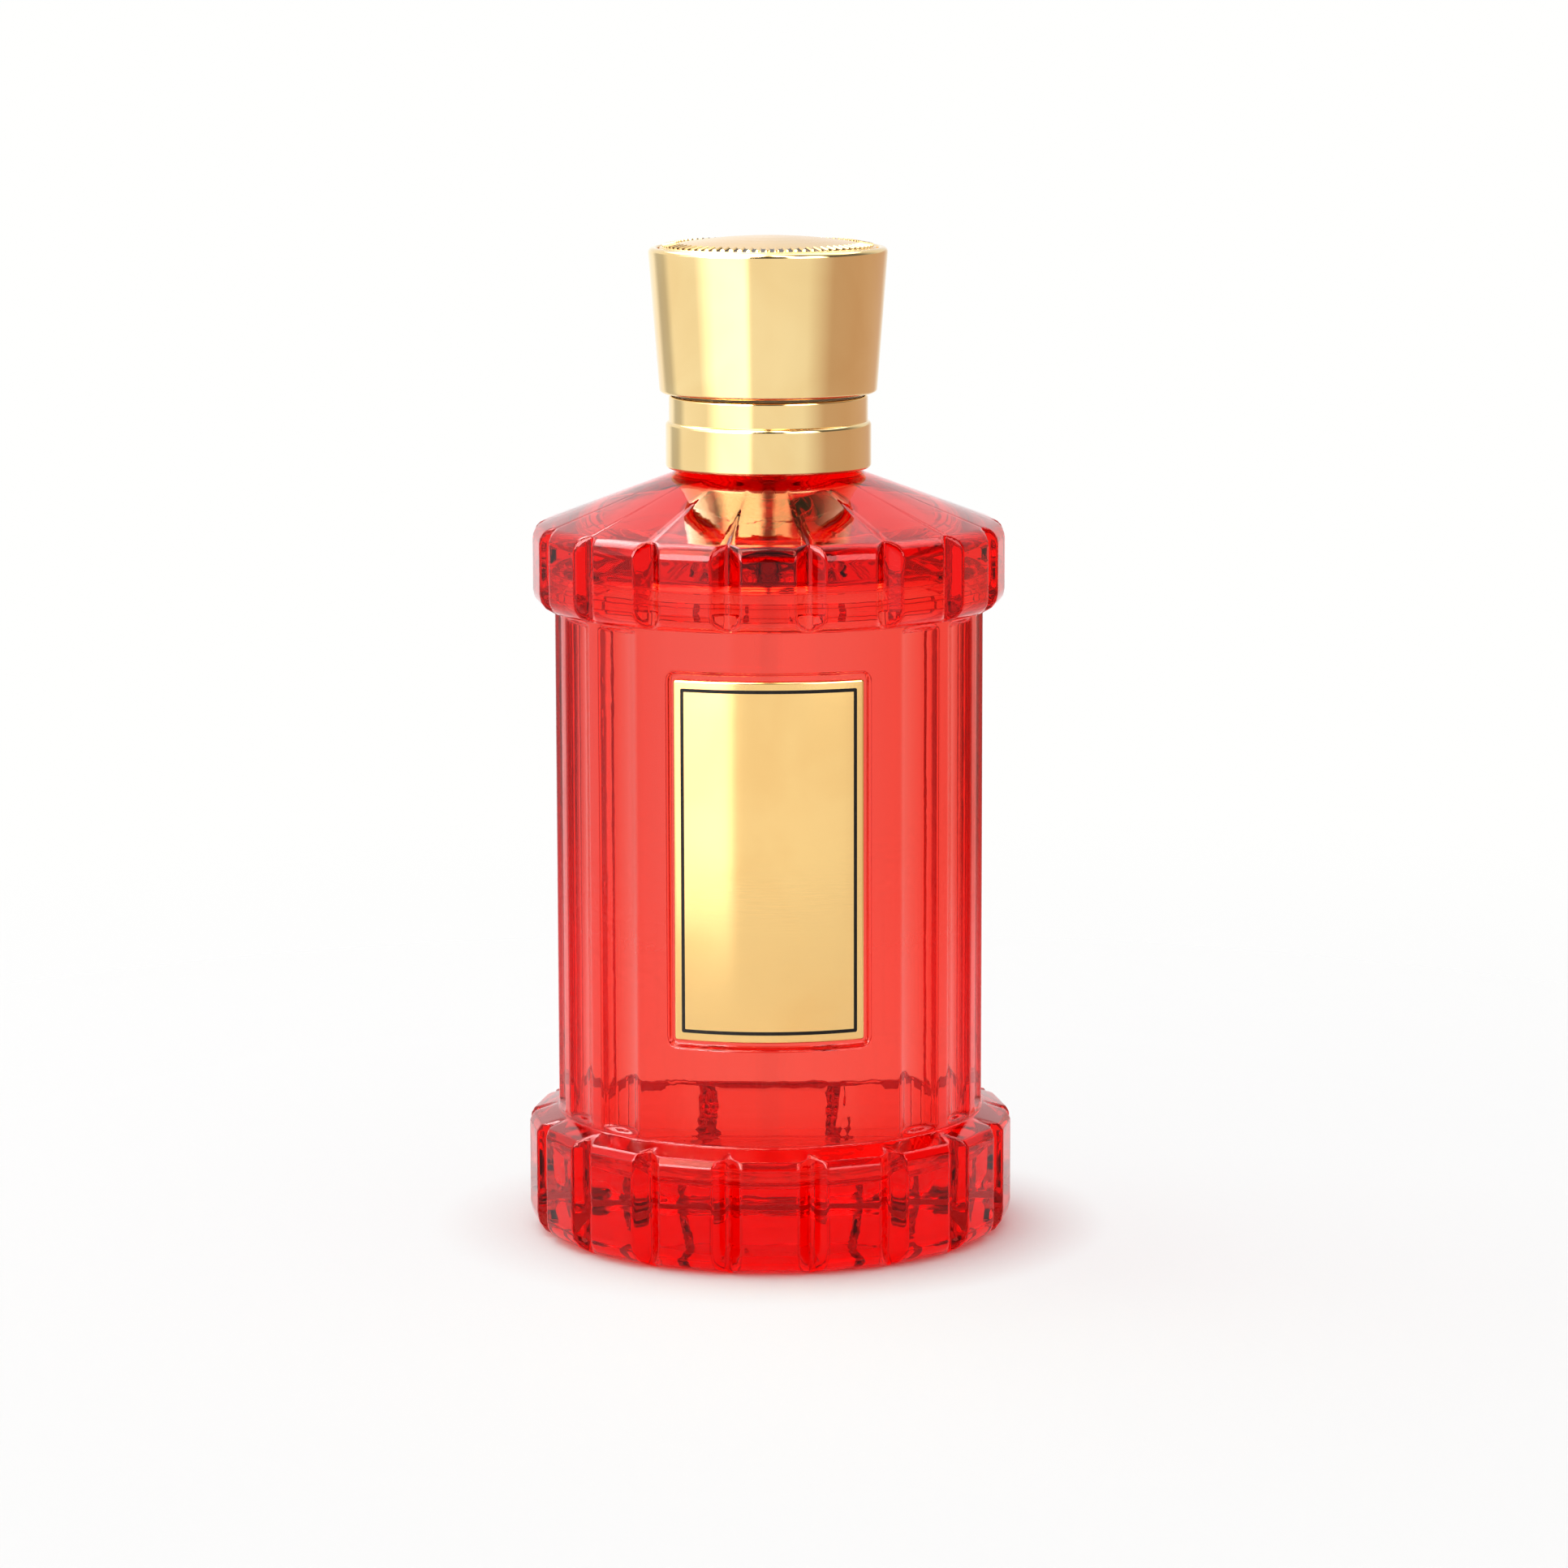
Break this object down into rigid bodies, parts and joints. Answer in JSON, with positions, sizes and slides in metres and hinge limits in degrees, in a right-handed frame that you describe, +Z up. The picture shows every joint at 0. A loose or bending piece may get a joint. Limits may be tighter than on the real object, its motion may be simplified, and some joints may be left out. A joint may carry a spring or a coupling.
{
  "type": "perfume bottle",
  "caption": "Round perfume bottle of clear red glass with panelled rings, fluted sides and a blank metal label, a spray pump in a gold collar and a pull-off gold cap.",
  "frame": {"origin": "centre of the foot, on the surface that the bottle stands on", "axes": "+Z up along the bottle's axis, -Y out of the label, +X to the right as the label is read"},
  "size_m": [0.0596, 0.0594, 0.1223],
  "materials": {
    "red_glass": "clear red glass, fire polished",
    "red_liquid": "clear liquid, tinted red by the glass",
    "label_gold": "polished gold",
    "collar_gold": "polished gold",
    "insert_plastic": "moulded",
    "ferrule_aluminium": "satin",
    "seal_rubber": "matt",
    "housing_plastic": "natural, translucent",
    "turret_plastic": "moulded",
    "spring_steel": "drawn wire",
    "ball_steel": "polished",
    "tube_plastic": "natural, clear",
    "piston_plastic": "moulded",
    "stem_plastic": "moulded",
    "button_plastic": "moulded",
    "sleeve_gold": "polished gold",
    "nozzle_plastic": "moulded",
    "cap_gold": "polished gold",
    "disc_gold": "polished gold",
    "liner_plastic": "moulded"
  },
  "bodies": {
    "bottle": {"glass_bottle": "red_glass", "perfume_liquid": "red_liquid", "label_plate": "label_gold", "neck_collar": "collar_gold", "collar_insert": "insert_plastic", "crimp_ferrule": "ferrule_aluminium", "neck_gasket": "seal_rubber", "pump_housing": "housing_plastic", "pump_turret": "turret_plastic", "stem_seal": "seal_rubber", "return_spring": "spring_steel", "dip_tube": "tube_plastic"},
    "cap": {"cap_shell": "cap_gold", "cap_top_disc": "disc_gold", "cap_liner": "liner_plastic"},
    "stem": {"pump_stem": "stem_plastic", "piston": "piston_plastic"},
    "button": {"spray_button": "button_plastic", "button_sleeve": "sleeve_gold", "spray_nozzle": "nozzle_plastic"},
    "ball": {"check_ball": "ball_steel"}
  },
  "joints": [
    {"name": "cap_lift", "type": "slide", "parent": "bottle", "child": "cap", "axis": [0, 0, 1], "range_m": [0, 0.04]},
    {"name": "button_press", "type": "slide", "parent": "bottle", "child": "stem", "axis": [0, 0, -1], "range_m": [0, 0.004], "stiffness_N_per_m": 1500, "springref_m": -0.004, "deforming": ["return_spring"]},
    {"name": "button_turn", "type": "hinge", "parent": "stem", "child": "button", "pos_m": [0, 0, 0.1142], "axis": [0, 0, 1], "continuous": true},
    {"name": "ball_lift", "type": "slide", "parent": "bottle", "child": "ball", "axis": [0, 0, 1], "range_m": [0, 0.001]}
  ]
}
